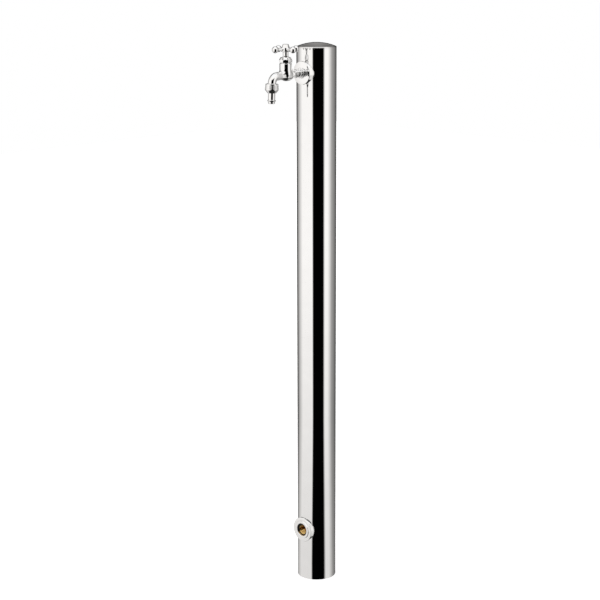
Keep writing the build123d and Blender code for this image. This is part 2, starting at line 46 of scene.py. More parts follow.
eye_distance = 3025.5
eye_height = 1286.35
eye_side = math.radians(45.0)
eye_down = math.radians(13.05)
eye_turn = math.radians(0.63)
eye_roll = math.radians(-0.167)
lens = 92.76
film_width = 36.0
farthest_seen = 100.0

across = Vector((math.cos(eye_side), math.sin(eye_side), 0))
ahead = Vector((-math.sin(eye_side), math.cos(eye_side), 0))
upward = Vector((0, 0, 1))
turned_across = across * math.cos(eye_turn) + ahead * math.sin(eye_turn)
turned_ahead = ahead * math.cos(eye_turn) - across * math.sin(eye_turn)
sight = turned_ahead * math.cos(eye_down) - upward * math.sin(eye_down)
crown = turned_ahead * math.sin(eye_down) + upward * math.cos(eye_down)
picture_right = turned_across * math.cos(eye_roll) + crown * math.sin(eye_roll)
picture_up = crown * math.cos(eye_roll) - turned_across * math.sin(eye_roll)

camera_data = bpy.data.cameras.new("camera")
camera_data.lens = lens
camera_data.sensor_width = film_width
camera_data.clip_end = farthest_seen
camera = bpy.data.objects.new("camera", camera_data)
bpy.context.scene.collection.objects.link(camera)
eye = (upward * eye_height - ahead * eye_distance) * mm
aim = Matrix((picture_right, picture_up, -sight)).transposed().to_4x4()
camera.matrix_world = Matrix.Translation(eye) @ aim
bpy.context.scene.camera = camera
bpy.context.scene.view_settings.view_transform = "Standard"


def grey(level):
    """A screen grey from 0 to 255 as light."""
    share = level / 255
    return share / 12.92 if share <= 0.04045 else ((share + 0.055) / 1.055) ** 2.4


def wire(tree, kind, inputs=(), **settings):
    """Add a node, set it and join or set its inputs, given as (input, value or output)."""
    made = tree.nodes.new(kind)
    for name, value in settings.items():
        setattr(made, name, value)
    for place, value in inputs:
        if isinstance(value, bpy.types.NodeSocket):
            tree.links.new(value, made.inputs[place])
        else:
            made.inputs[place].default_value = value
    return made


studio_gain = 1.06
studio_warmth = 0.02


def stripes(tree, where, stops):
    """Bands of light round the object: (angle from the front, grey)."""
    ramp = wire(tree, "ShaderNodeValToRGB", [("Fac", where)])
    elements = ramp.color_ramp.elements
    while len(elements) > 1:
        elements.remove(elements[-1])
    for index, (angle, level) in enumerate(stops):
        place = 0.5 + angle / 360
        spot = elements[0] if index == 0 else elements.new(place)
        spot.position = place
        light = studio_gain * grey(level)
        spot.color = (light * (1 + studio_warmth), light, light * (1 - studio_warmth), 1)
    return ramp.outputs["Color"]


room = bpy.data.worlds.new("white_room")
bpy.context.scene.world = room
room.use_nodes = True
tree = room.node_tree
tree.nodes.clear()
direction = wire(tree, "ShaderNodeTexCoord").outputs["Generated"]
height = wire(tree, "ShaderNodeSeparateXYZ", [(0, direction)]).outputs["Z"]


def share_along(direction, way):
    """How far the view direction points this way."""
    return wire(
        tree, "ShaderNodeVectorMath", [(0, direction), (1, tuple(way))], operation="DOT_PRODUCT"
    ).outputs["Value"]


def fade(value, start, end, low=0.0, high=1.0):
    """Go from low to high while the value goes from start to end."""
    stops = [(0, value), (1, start), (2, end), (3, low), (4, high)]
    return wire(tree, "ShaderNodeMapRange", stops).outputs[0]


def blend(share, one, other):
    """Mix two colours of light."""
    return wire(
        tree, "ShaderNodeMix", [(0, share), (6, one), (7, other)], data_type="RGBA"
    ).outputs[2]


def even_light(level):
    """The same light in all three colours."""
    return (level, level, level, 1)


round_angle = wire(
    tree, "ShaderNodeMath",
    [(0, share_along(direction, across)), (1, share_along(direction, -ahead))], operation="ARCTAN2",
).outputs[0]
place_round = fade(round_angle, -math.pi, math.pi)
# The studio: a white panel on the left that fades to the back, a black flag in front, and
# a white strip on the right that fades to grey. The back is lighter higher up, and all the
# panels get a little darker towards the floor.
level_light = [
    (-180, 10), (-150, 70), (-90, 250), (-25, 250), (-20, 2), (40, 2), (50, 250), (70, 250),
    (100, 160), (150, 80), (180, 10),
]
raised_left = [(-180, 140), (-175, 130), (-165, 40), (-150, 90)]
raised_right = [(150, 70), (165, 40), (175, 130), (180, 140)]
raised_light = raised_left + [stop for stop in level_light if abs(stop[0]) < 150] + raised_right
high_light = [
    (-180, 130), (-160, 100), (-140, 120), (-100, 230), (-60, 250), (70, 250), (110, 190),
    (155, 50), (165, 50), (175, 130), (180, 130),
]
low_share = 0.88
low_light = [(angle, low_share * level) for angle, level in level_light]
bands = [
    (0.6, high_light), (0.48, raised_light), (0.28, raised_light), (0.18, level_light),
    (-0.2, level_light), (-0.38, low_light),
]
stripe_middle = 0.5 + 13 / 360
stripe_growth = 1.22
growth_start, growth_end = -0.3, -0.385
ceiling_start, ceiling_end = 0.74, 0.84
ground_start, ground_end = -0.76, -0.86
ceiling_light, ground_light, matt_light, backdrop_light = 1.05, 0.02, 1.1, 1.0

spread = fade(height, growth_start, growth_end, 1.0, 1 / stripe_growth)
from_middle = wire(
    tree, "ShaderNodeMath", [(0, place_round), (1, stripe_middle)], operation="SUBTRACT"
).outputs[0]
place_round = wire(
    tree, "ShaderNodeMath", [(0, from_middle), (1, spread), (2, stripe_middle)], operation="MULTIPLY_ADD"
).outputs[0]
walls = None
for low, stops in bands:
    band = stripes(tree, place_round, stops)
    walls = band if walls is None else blend(fade(height, high, low), walls, band)
    high = low
lit_walls = blend(fade(height, ceiling_start, ceiling_end), walls, even_light(ceiling_light))
all_round = blend(fade(height, ground_start, ground_end), lit_walls, even_light(ground_light))
rays = wire(tree, "ShaderNodeLightPath").outputs
soft = blend(rays["Is Diffuse Ray"], all_round, even_light(matt_light))
seen = blend(rays["Is Camera Ray"], soft, even_light(backdrop_light))
glow = wire(tree, "ShaderNodeBackground", [("Color", seen), ("Strength", 1.0)])
wire(tree, "ShaderNodeOutputWorld", [("Surface", glow.outputs[0])])

floor_half = 6.0
floor_signs = ((-1, -1), (1, -1), (1, 1), (-1, 1))
floor_mesh = bpy.data.meshes.new("floor")
floor_mesh.from_pydata(
    [(floor_half * x, floor_half * y, 0) for x, y in floor_signs], [], [(0, 1, 2, 3)]
)
floor = bpy.data.objects.new("floor", floor_mesh)
bpy.context.scene.collection.objects.link(floor)
floor.visible_glossy = False
floor_finish = bpy.data.materials.new("floor_white")
floor_finish.use_nodes = True
floor_shader = floor_finish.node_tree.nodes["Principled BSDF"]
floor_shader.inputs["Base Color"].default_value = (0.9, 0.9, 0.9, 1)
floor_shader.inputs["Roughness"].default_value = 0.9
floor_shader.inputs["Emission Color"].default_value = (1, 1, 1, 1)
floor_shader.inputs["Emission Strength"].default_value = 0.35
floor_mesh.materials.append(floor_finish)


# Post tube: one length of 78 mm stainless tube, drilled for the tap and the inlet and
# polished to a mirror. The polishing leaves hair-fine lines round the tube.

post_radius = 39.0
post_wall = 1.5
seam_height = 1087.4
tap_height = 1040.0
inlet_height = 106.4
hole_radius = 14.6
break_edge = 0.3
edge_row = 0.6
inlet_rows = [80, 93, 120, 133]
tap_rows = [1016, 1027, 1053, 1064]
drill_start, drill_end = 20, 50


def bright_metal(name, colour, dull, sharp, grain, grain_size, lie=(1, 1, 1), wave=0.0, wave_size=30.0):
    """Polished metal: its gloss varies in patches, with fine lines and slow waves as relief."""
    made = bpy.data.materials.new(name)
    made.use_nodes = True
    tree = made.node_tree
    shader = tree.nodes["Principled BSDF"]
    shader.inputs["Metallic"].default_value = 1.0
    patch_size = 45.0
    darker_share = 0.93
    fewest, most = 0.35, 0.7
    spot = wire(tree, "ShaderNodeTexCoord").outputs["Object"]
    stretched = wire(tree, "ShaderNodeMapping", [("Vector", spot), ("Scale", lie)]).outputs[0]
    patches = wire(tree, "ShaderNodeTexNoise", [("Vector", spot), ("Scale", patch_size), ("Detail", 3.0)])
    lines = wire(tree, "ShaderNodeTexNoise", [("Vector", stretched), ("Scale", grain_size), ("Detail", 4.0)])
    slow = wire(tree, "ShaderNodeTexNoise", [("Vector", spot), ("Scale", wave_size), ("Detail", 1.0)])
    rough = wire(tree, "ShaderNodeMapRange", [
        (0, patches.outputs["Fac"]), (1, fewest), (2, most), (3, sharp), (4, dull),
    ])
    tree.links.new(rough.outputs[0], shader.inputs["Roughness"])
    tint = wire(tree, "ShaderNodeMix", [
        (0, patches.outputs["Fac"]), (6, tuple(darker_share * c for c in colour) + (1,)),
        (7, tuple(colour) + (1,)),
    ], data_type="RGBA")
    tree.links.new(tint.outputs[2], shader.inputs["Base Color"])
    fine = wire(tree, "ShaderNodeBump", [
        ("Strength", grain), ("Distance", 0.0002), ("Height", lines.outputs["Fac"]),
    ])
    slow_relief = wire(tree, "ShaderNodeBump", [
        ("Strength", wave), ("Distance", 0.001), ("Height", slow.outputs["Fac"]), ("Normal", fine.outputs[0]),
    ])
    tree.links.new(slow_relief.outputs[0], shader.inputs["Normal"])
    return made


def rounded(corners, steps=6):
    """The points of a closed outline whose corners are (radius, height) or with a rounding."""
    places = [Vector(corner[:2]) for corner in corners]
    points = []
    for index, corner in enumerate(corners):
        here = places[index]
        if len(corner) < 3:
            points.append(here)
            continue
        back = (places[index - 1] - here).normalized()
        on = (places[(index + 1) % len(places)] - here).normalized()
        half = back.angle(on) / 2
        middle = here + (back + on).normalized() * (corner[2] / math.sin(half))
        start = here + back * (corner[2] / math.tan(half)) - middle
        sweep = math.pi - 2 * half
        side = 1 if start.x * (here - middle).y - start.y * (here - middle).x > 0 else -1
        for step in range(steps + 1):
            turn = side * sweep * step / steps
            points.append(middle + Vector((
                start.x * math.cos(turn) - start.y * math.sin(turn),
                start.x * math.sin(turn) + start.y * math.cos(turn),
            )))
    return points


def made_object(name, points, faces, place=Matrix(), sharp=35.0):
    """A closed piece from points in millimetres, with its faces outwards and smooth."""
    mesh = bpy.data.meshes.new(name)
    mesh.from_pydata([tuple(p) for p in points], [], [tuple(f) for f in faces])
    mesh.transform(Matrix.Scale(mm, 4) @ place)
    work = bmesh.new()
    work.from_mesh(mesh)
    bmesh.ops.recalc_face_normals(work, faces=work.faces)
    work.to_mesh(mesh)
    work.free()
    mesh.shade_smooth()
    mesh.set_sharp_from_angle(angle=math.radians(sharp))
    made = bpy.data.objects.new(name, mesh)
    bpy.context.scene.collection.objects.link(made)
    return made


def lathe(name, corners, place=Matrix(), round_steps=128, steps=6, sharp=35.0):
    """Turn a closed outline of (radius, height) corners about the upright axis."""
    outline = rounded(corners, steps)
    points = []
    rings = []
    for spot in outline:
        if spot.x < 1e-6:
            rings.append([len(points)])
            points.append((0, 0, spot.y))
            continue
        rings.append(list(range(len(points), len(points) + round_steps)))
        for step in range(round_steps):
            turn = 2 * math.pi * step / round_steps
            points.append((spot.x * math.cos(turn), spot.x * math.sin(turn), spot.y))
    faces = []
    for index, ring in enumerate(rings):
        before = rings[index - 1]
        if len(ring) == 1 and len(before) == 1:
            continue
        for step in range(round_steps):
            on = (step + 1) % round_steps
            corners_round = [
                before[step % len(before)], before[on % len(before)],
                ring[on % len(ring)], ring[step % len(ring)],
            ]
            faces.append(list(dict.fromkeys(corners_round)))
    return made_object(name, points, faces, place, sharp)


def out_of_post(height):
    """Lay an upright piece down so that it points away from the post at this height."""
    return Matrix.Translation((0, 0, height)) @ Matrix.Rotation(math.radians(90), 4, "X")


def fit(piece, body, slot, finish, *nodes):
    """Give a finished piece its material, its body and the solids it stands for. The slot argument is not
    used.
    """
    piece.data.materials.clear()
    piece.data.materials.append(finish)
    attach(piece, body)
    if nodes:
        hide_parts(*nodes)
    return piece


def settled(piece):
    """Turn a piece with its modifiers into a plain mesh."""
    bpy.context.view_layer.update()
    graph = bpy.context.evaluated_depsgraph_get()
    mesh = bpy.data.meshes.new_from_object(piece.evaluated_get(graph))
    piece.modifiers.clear()
    piece.data = mesh
    return piece


polished_steel = bright_metal(
    "polished_steel", (0.95, 0.95, 0.95), dull=0.05, sharp=0.03, grain=0.02, grain_size=900.0,
    lie=(0.12, 0.12, 1.0), wave=0.006, wave_size=14.0,
)
bore_radius = post_radius - post_wall
tube_rows = [edge_row] + inlet_rows + tap_rows + [seam_height - edge_row]
tube_corners = [(bore_radius, 0, break_edge), (post_radius, 0, break_edge)]
tube_corners += [(post_radius, row) for row in tube_rows]
tube_corners += [(post_radius, seam_height, break_edge), (bore_radius, seam_height, break_edge)]
tube_corners += [(bore_radius, row) for row in reversed(tube_rows)]
post = lathe("polished_post", tube_corners, round_steps=256, steps=2)
drills = []
for height in (tap_height, inlet_height):
    drill = lathe("drill", [
        (0, drill_start), (hole_radius, drill_start), (hole_radius, drill_end), (0, drill_end),
    ], out_of_post(height), round_steps=64)
    drills.append(drill)
    cut = post.modifiers.new("hole", "BOOLEAN")
    cut.operation = "DIFFERENCE"
    cut.solver = "EXACT"
    cut.object = drill
settled(post)
for drill in drills:
    bpy.data.objects.remove(drill)
fit(post, "post", "polished_post", polished_steel, "post_tube")


# Cap: a pressed lid with a shallow dome and a rolled band, satin brushed in rings, with a
# skirt that holds a rubber ring inside the tube.

cap_rise = 7.2
rim_height = 1090.0
cap_rounding = 1.9
cap_sheet = 1.5
skirt_gap = 0.35
skirt_depth = 18.0
groove_depth = 2.1
groove_half = 1.2
seam_edge = 0.25
skirt_edge = 0.4
hollow_edge = 1.0
dome_steps = 14

satin = bright_metal(
    "satin_steel", (0.92, 0.91, 0.90), dull=0.11, sharp=0.07, grain=0.02, grain_size=500.0,
    lie=(0.3, 0.3, 1.0), wave=0.004, wave_size=20.0,
)
dome_edge = post_radius - cap_rounding
ball = (dome_edge**2 + cap_rise**2) / (2 * cap_rise)
skirt_radius = bore_radius - skirt_gap
hollow_radius = skirt_radius - 2 * cap_sheet
skirt_foot = seam_height - skirt_depth
groove_radius = skirt_radius - groove_depth
groove_top = seam_height - skirt_depth / 2 + groove_half
groove_foot = seam_height - skirt_depth / 2 - groove_half
cap_corners = []
for step in range(dome_steps + 1):
    reach = dome_edge * step / dome_steps
    cap_corners.append((reach, rim_height + cap_rise - ball + math.sqrt(ball**2 - reach**2)))
cap_corners += [
    (post_radius, rim_height, cap_rounding),
    (post_radius, seam_height, seam_edge),
    (skirt_radius, seam_height),
    (skirt_radius, groove_top),
    (groove_radius, groove_top),
    (groove_radius, groove_foot),
    (skirt_radius, groove_foot),
    (skirt_radius, skirt_foot, skirt_edge),
    (hollow_radius, skirt_foot, skirt_edge),
    (hollow_radius, rim_height - cap_sheet, hollow_edge),
    (0, rim_height - cap_sheet + cap_rise),
]
cap = lathe("domed_cap", cap_corners, round_steps=256, sharp=40.0)
fit(cap, "post", "satin_cap", satin, "top_cap")


# Rubber: the cap's sealing ring, the gaskets under the saddles and in the unions, the
# packing round the stem and the washer of the valve.


def soft_stuff(name, colour, light_colour, rough, grain, size, cells=False):
    """Rubber, plastic or foam: mottled, with a fine surface."""
    made = bpy.data.materials.new(name)
    made.use_nodes = True
    tree = made.node_tree
    shader = tree.nodes["Principled BSDF"]
    grains_in_patch = 8
    fewest, most = 0.3, 0.7
    gloss_spread = 0.08
    spot = wire(tree, "ShaderNodeTexCoord").outputs["Object"]
    mottle = wire(
        tree, "ShaderNodeTexNoise", [("Vector", spot), ("Scale", size / grains_in_patch), ("Detail", 4.0)]
    )
    tint = wire(tree, "ShaderNodeMix", [
        (0, mottle.outputs["Fac"]), (6, tuple(colour) + (1,)), (7, tuple(light_colour) + (1,)),
    ], data_type="RGBA")
    tree.links.new(tint.outputs[2], shader.inputs["Base Color"])
    kind = "ShaderNodeTexVoronoi" if cells else "ShaderNodeTexNoise"
    skin = wire(tree, kind, [("Vector", spot), ("Scale", size)])
    relief = wire(tree, "ShaderNodeBump", [
        ("Strength", grain), ("Distance", 0.0004), ("Height", skin.outputs[0]),
    ])
    tree.links.new(relief.outputs[0], shader.inputs["Normal"])
    gloss = wire(tree, "ShaderNodeMapRange", [
        (0, mottle.outputs["Fac"]), (1, fewest), (2, most),
        (3, rough - gloss_spread), (4, rough + gloss_spread),
    ])
    tree.links.new(gloss.outputs[0], shader.inputs["Roughness"])
    return made


def dress(finish, *names):
    """Put a finish on solids that keep their own shape."""
    for name in names:
        node[name].data.materials.clear()
        node[name].data.materials.append(finish)


rubber = soft_stuff(
    "black_rubber", (0.004, 0.004, 0.004), (0.012, 0.012, 0.013), rough=0.6, grain=0.15, size=2400.0
)
rubber.node_tree.nodes["Principled BSDF"].inputs["Specular IOR Level"].default_value = 0.2
dress(
    rubber, "cap_seal_ring", "upper_saddle_gasket", "lower_saddle_gasket", "upper_union_gasket",
    "lower_union_gasket", "gland_packing", "jumper_washer", "nipple_gasket",
)


# Riser: a grey water pipe with union nuts, inside a sleeve of closed-cell foam, joined at
# both ends to cast brass elbows with steel washers behind the post's wall.

riser_grey = soft_stuff(
    "riser_grey", (0.16, 0.18, 0.22), (0.22, 0.25, 0.29), rough=0.4, grain=0.05, size=900.0
)
foam = soft_stuff(
    "foam_white", (0.55, 0.56, 0.55), (0.74, 0.75, 0.74), rough=0.85, grain=0.5, size=700.0, cells=True
)
plain_steel = bright_metal(
    "plain_steel", (0.60, 0.60, 0.60), dull=0.34, sharp=0.22, grain=0.15, grain_size=700.0, lie=(1, 1, 0.2)
)
brass = bright_metal(
    "bare_brass", (0.86, 0.58, 0.22), dull=0.3, sharp=0.16, grain=0.1, grain_size=800.0, lie=(0.2, 1, 0.2)
)
dress(riser_grey, "riser_pipe")
dress(foam, "pipe_lagging")
dress(
    plain_steel, "upper_backing_washer", "lower_backing_washer", "upper_union_nut", "lower_union_nut",
    "handle_screw",
)
dress(brass, "upper_elbow", "jumper_valve", "jumper_nut", "packing_washer")


# Saddles: thick chromed rings that carry the plates of the tap and of the inlet. They are
# hollowed behind to sit on the round post and flat in front.

chrome = bright_metal(
    "bright_chrome", (0.97, 0.97, 0.97), dull=0.04, sharp=0.025, grain=0.003, grain_size=1200.0,
    wave=0.004, wave_size=60.0,
)


def eased(name, solid, edge, sharp=30.0):
    """A copy of a solid with its facets merged and its edges lightly broken."""
    made = bpy.data.objects.new(name, node[solid].data.copy())
    bpy.context.scene.collection.objects.link(made)
    work = bmesh.new()
    work.from_mesh(made.data)
    bmesh.ops.remove_doubles(work, verts=work.verts, dist=1e-6)
    bmesh.ops.dissolve_degenerate(work, dist=1e-6, edges=work.edges)
    bmesh.ops.recalc_face_normals(work, faces=work.faces)
    work.to_mesh(made.data)
    work.free()
    if edge:
        break_off = made.modifiers.new("edge", "BEVEL")
        break_off.width = edge * mm
        break_off.segments = 2
        break_off.angle_limit = math.radians(sharp)
        settled(made)
    made.data.shade_smooth()
    made.data.set_sharp_from_angle(angle=math.radians(sharp))
    return made


fit(eased("tap_saddle", "upper_saddle", 0), "post", "chrome_fittings", chrome, "upper_saddle")
fit(eased("inlet_saddle", "lower_saddle", 0), "post", "chrome_fittings", chrome, "lower_saddle")


# Inlet: a turned plate over the saddle, a ring nut on the socket's outer thread, and a
# black sealing ring round the mouth of the threaded brass socket.

saddle_face = post_radius + 1.6
plate_radius = 25.3
plate_thickness = 1.4
plate_edge = 0.6
plate_back_edge = 0.2
hub_hole_radius = 16.5
plate_face = saddle_face + plate_thickness
plate = lathe("inlet_rosette", [
    (hub_hole_radius, saddle_face),
    (plate_radius, saddle_face, plate_back_edge),
    (plate_radius, plate_face, plate_edge),
    (hub_hole_radius, plate_face, plate_back_edge),
], out_of_post(inlet_height), round_steps=160)
fit(plate, "post", "chrome_fittings", chrome, "inlet_plate")

nut_back = post_radius + 0.4
nut_face = plate_face + 1.5
nut_radius = 18.5
nut_chamfer = 0.5
nut_mouth_edge = 0.25
nut_seat_gap = 0.1
mouth_radius = 13.0
socket_radius = 14.35
socket_mouth = post_radius + 2.9
nut_hub_radius = 16.1
ring_nut = lathe("inlet_clamp_ring", [
    (socket_radius, nut_back),
    (nut_hub_radius, nut_back),
    (nut_hub_radius, plate_face),
    (nut_radius, plate_face),
    (nut_radius - nut_chamfer, nut_face, nut_chamfer),
    (mouth_radius + nut_chamfer, nut_face, nut_mouth_edge),
    (mouth_radius, nut_face - nut_chamfer),
    (mouth_radius, socket_mouth + nut_seat_gap),
    (socket_radius, socket_mouth + nut_seat_gap),
], out_of_post(inlet_height), round_steps=160)
fit(ring_nut, "post", "chrome_fittings", chrome, "inlet_ring_nut")

seal_seat = socket_mouth - 2.0
seal_face = seal_seat + 1.3
seal_radius = 12.8
seal_bore = 10.2
seal_back_edge, seal_edge = 0.3, 0.4
seal = lathe("inlet_seal", [
    (seal_bore, seal_seat, seal_back_edge),
    (seal_radius, seal_seat, seal_back_edge),
    (seal_radius, seal_face, seal_edge),
    (seal_bore, seal_face, seal_edge),
], out_of_post(inlet_height))
fit(seal, "post", "black_rubber", rubber, "inlet_seal_ring")


# Tap plate: a thin brass plate, pressed into a shallow dish and chromed. It covers the
# saddle and is held by the collar of the tap's shank.

tap_plate_radius = 22.1
tap_plate_bore = 9.6
tap_plate_rim = saddle_face + 0.7
tap_plate_face = saddle_face + 1.4
collar_radius = 10.6
tap_plate = lathe("tap_rosette", [
    (tap_plate_bore, saddle_face),
    (tap_plate_radius, saddle_face, 0.15),
    (tap_plate_radius, tap_plate_rim, 0.25),
    (collar_radius, tap_plate_face),
    (tap_plate_bore, tap_plate_face),
], out_of_post(tap_height), round_steps=160)
fit(tap_plate, "post", "chrome_fittings", chrome, "tap_plate")


# Tap body: one brass casting, ground, polished and chromed. Shank, belly, barrel and
# spout run into each other with soft fillets, so it is shaped as one skin.

barrel_reach = 82.7
nozzle_reach = 118.4
nozzle_tilt = math.radians(2.5)
spout_axis_drop = 0.8
spout_fall = 2.4
spout_bend = 13.0
outlet_drop = 21.8
outlet_thread_start = 12.0
outlet_radius = 9.3
spout_radius = 7.8
spout_bore = 5.6
spout_fillet = 4.5
barrel_radius = 12.0
barrel_top = 20.8
barrel_edge = 0.9
barrel_fillet = 2.2
neck_radius = 9.5
neck_foot = 10
neck_top = 26.5
thread_end_edge = 0.3
gland_bore = (7.6, 8, neck_top + 5.5)
valve_chamber = (10, 0, 10)
chamber_under_seat = (8.4, -7.4, -2.6)
seat_opening = (5.5, -4.5, 1.5)
window_half_width = 4.4
window_middle = 1.7
belly_radius = 12.6
shank_radius = 6.7
front_bead_radius = 8.1
back_bead_radius = 8.7
shank_overrun = 6
bend_height = tap_height - spout_axis_drop - spout_fall


def outline_distance(across, up, corners):
    """How far each point is outside a closed outline, below zero inside it."""
    nearest = np.full(across.shape, 1e9)
    sign = np.ones(across.shape)
    for index, (bx, by) in enumerate(corners):
        ax, ay = corners[index - 1]
        ex, ey = bx - ax, by - ay
        wx, wy = across - ax, up - ay
        share = np.clip((wx * ex + wy * ey) / (ex * ex + ey * ey), 0, 1)
        nearest = np.minimum(nearest, (wx - ex * share) ** 2 + (wy - ey * share) ** 2)
        from_below = ay <= up
        to_above = by > up
        left = ex * wy > ey * wx
        sign = np.where((from_below & to_above & left) | (~from_below & ~to_above & ~left), -sign, sign)
    return sign * np.sqrt(nearest)


def melt(one, other, reach):
    """Join two shapes with a fillet of about this reach."""
    share = np.clip(0.5 + 0.5 * (other - one) / reach, 0, 1)
    return other * (1 - share) + one * share - reach * share * (1 - share)


def round_bar(radius_at, along, radius, low, high, edge=0.4):
    """A bar of this radius from low to high with its edges rounded."""
    side = radius_at - (radius - edge)
    end = np.abs(along - (low + high) / 2) - ((high - low) / 2 - edge)
    return np.minimum(np.maximum(side, end), 0) + np.hypot(np.maximum(side, 0), np.maximum(end, 0)) - edge


def skin(name, shape, low, high, cell, sharp=50.0):
    """A closed skin of four-sided faces round the points where shape is below zero."""
    count = [int(math.ceil((high[axis] - low[axis]) / cell)) + 1 for axis in range(3)]
    grid = np.meshgrid(*[low[axis] + cell * np.arange(count[axis]) for axis in range(3)], indexing="ij")
    value = shape(*grid)
    near, far = slice(None, -1), slice(1, None)
    cells = tuple(n - 1 for n in count)
    total = np.zeros(cells + (3,))
    hits = np.zeros(cells)
    for axis in range(3):
        others = [a for a in range(3) if a != axis]
        for first in (0, 1):
            for second in (0, 1):
                start, end = [None] * 3, [None] * 3
                start[axis], end[axis] = near, far
                start[others[0]] = end[others[0]] = (near, far)[first]
                start[others[1]] = end[others[1]] = (near, far)[second]
                v0, v1 = value[tuple(start)], value[tuple(end)]
                cross = (v0 < 0) != (v1 < 0)
                gap = np.where(cross, v0 - v1, 1.0)
                hits += cross
                total[..., axis] += np.where(cross, v0 / gap, 0)
                total[..., others[0]] += cross * first
                total[..., others[1]] += cross * second
    live = hits > 0
    index = np.full(cells, -1)
    index[live] = np.arange(live.sum())
    points = np.array(low) + cell * (np.argwhere(live) + total[live] / hits[live][:, None])
    faces = []
    for axis in range(3):
        others = [a for a in range(3) if a != axis]
        start, end = [slice(1, -1)] * 3, [slice(1, -1)] * 3
        start[axis], end[axis] = near, far
        v0, v1 = value[tuple(start)], value[tuple(end)]
        cross = (v0 < 0) != (v1 < 0)
        at = np.argwhere(cross)
        at[:, others[0]] += 1
        at[:, others[1]] += 1
        ring = []
        for first, second in ((-1, -1), (0, -1), (0, 0), (-1, 0)):
            spot = at.copy()
            spot[:, others[0]] += first
            spot[:, others[1]] += second
            ring.append(index[tuple(spot.T)])
        quad = np.stack(ring, 1)
        swap = (v0[cross] < 0) == (axis == 1)
        quad[swap] = quad[swap][:, ::-1]
        faces.append(quad)
    small = 0.04
    settling_rounds = 4
    flattest_slope = 0.2
    for _ in range(settling_rounds):
        here = shape(*points.T)
        slope = np.stack([
            (shape(*(points + small * step).T) - shape(*(points - small * step).T)) / (2 * small)
            for step in np.eye(3)
        ], 1)
        move = slope * (here / np.maximum((slope**2).sum(1), flattest_slope))[:, None]
        points = points - np.clip(move, -cell / 3, cell / 3)
    return made_object(name, points, np.concatenate(faces), sharp=sharp)


def shank_outline():
    """The lying part of the body: radius against distance from the post's axis."""
    start = tap_plate_face
    waist = shank_radius + 0.1
    belly_start, belly_end, belly_nose = barrel_reach - 7, barrel_reach + 3, barrel_reach + 11
    corners = rounded([
        (-shank_overrun, start),
        (collar_radius, start), (collar_radius, start + 2.3, 0.7),
        (shank_radius, start + 2.3, 0.3), (shank_radius, start + 3.1, 0.5),
        (back_bead_radius, start + 3.6, 1.1), (back_bead_radius, start + 6.4, 1.1),
        (shank_radius, start + 7.1, 0.6), (shank_radius, start + 10.6, 0.6),
        (front_bead_radius, start + 11.1, 0.9), (front_bead_radius, start + 14.8, 0.9),
        (waist, start + 15.4, 0.7), (waist, start + 18.7, 4),
        (belly_radius, belly_start, 9), (belly_radius, belly_end, 9),
        (spout_radius, belly_nose), (-shank_overrun, belly_nose),
    ], 5)
    return [tuple(p) for p in corners]


lying_corners = shank_outline()


def spout_distance(x, out, up):
    """How far each point is from the spout's centre line, which falls, bends and drops."""
    first = Vector((barrel_reach, -spout_axis_drop))
    corner = Vector((nozzle_reach, -spout_axis_drop - spout_fall))
    down = Vector((math.sin(nozzle_tilt), -math.cos(nozzle_tilt)))
    last = corner + down * outlet_drop
    back = (first - corner).normalized()
    half = back.angle(down) / 2
    middle = corner + (back + down).normalized() * (spout_bend / math.sin(half))
    bend_start = corner + back * (spout_bend / math.tan(half))
    bend_end = corner + down * (spout_bend / math.tan(half))
    best = np.full(x.shape, 1e9)
    for a, b in ((first, bend_start), (bend_end, last)):
        ex, ey = b.x - a.x, b.y - a.y
        share = np.clip(((out - a.x) * ex + (up - a.y) * ey) / (ex * ex + ey * ey), 0, 1)
        best = np.minimum(best, np.hypot(out - a.x - ex * share, up - a.y - ey * share))
    outward = (corner - middle).normalized()
    wide = (bend_start - middle).normalized().dot(outward)
    rx, ry = out - middle.x, up - middle.y
    length = np.maximum(np.hypot(rx, ry), 1e-9)
    inside = (rx * outward.x + ry * outward.y) / length >= wide
    best = np.where(inside, np.minimum(best, np.abs(length - spout_bend)), best)
    return np.hypot(x, best)


def bored(distance, radius, along, low, high):
    """A plain hole of this radius from low to high."""
    return np.maximum(distance - radius, np.abs(along - (low + high) / 2) - (high - low) / 2)


def tap_body_shape(x, y, z):
    """The casting: below zero in the metal, above zero outside and in the waterways."""
    out = -y
    up = z - tap_height
    lying = outline_distance(np.hypot(x, up), out, lying_corners)
    from_barrel = np.hypot(x, out - barrel_reach)
    barrel = round_bar(from_barrel, up, barrel_radius, 0, barrel_top, barrel_edge)
    neck = round_bar(from_barrel, up, neck_radius, neck_foot, neck_top, thread_end_edge)
    from_spout = spout_distance(x, out, up)
    along = (out - nozzle_reach) * math.sin(nozzle_tilt) - (z - bend_height) * math.cos(nozzle_tilt)
    aside = (out - nozzle_reach) * math.cos(nozzle_tilt) + (z - bend_height) * math.sin(nozzle_tilt)
    from_nozzle = np.hypot(x, aside)
    spout = np.maximum(from_spout - spout_radius, along - outlet_drop)
    outlet = round_bar(
        from_nozzle, along, outlet_radius, outlet_thread_start, outlet_drop, thread_end_edge
    )
    solid = melt(melt(lying, barrel, barrel_fillet), spout, spout_fillet)
    solid = np.minimum(np.minimum(solid, neck), outlet)
    from_window = np.maximum(np.abs(x) - window_half_width, np.abs(up - window_middle) - window_middle)
    hollow = np.maximum(from_spout - spout_bore, barrel_reach + barrel_radius - out)
    mouth = bored(from_nozzle, spout_bore, along, outlet_drop - 3, outlet_drop + 3)
    window = bored(from_window, 0, out, barrel_reach + 8, barrel_reach + 14)
    hollow = np.minimum(np.minimum(hollow, mouth), window)
    for radius, low, high in (gland_bore, valve_chamber, chamber_under_seat, seat_opening):
        hollow = np.minimum(hollow, bored(from_barrel, radius, up, low, high))
    return np.maximum(solid, -hollow)


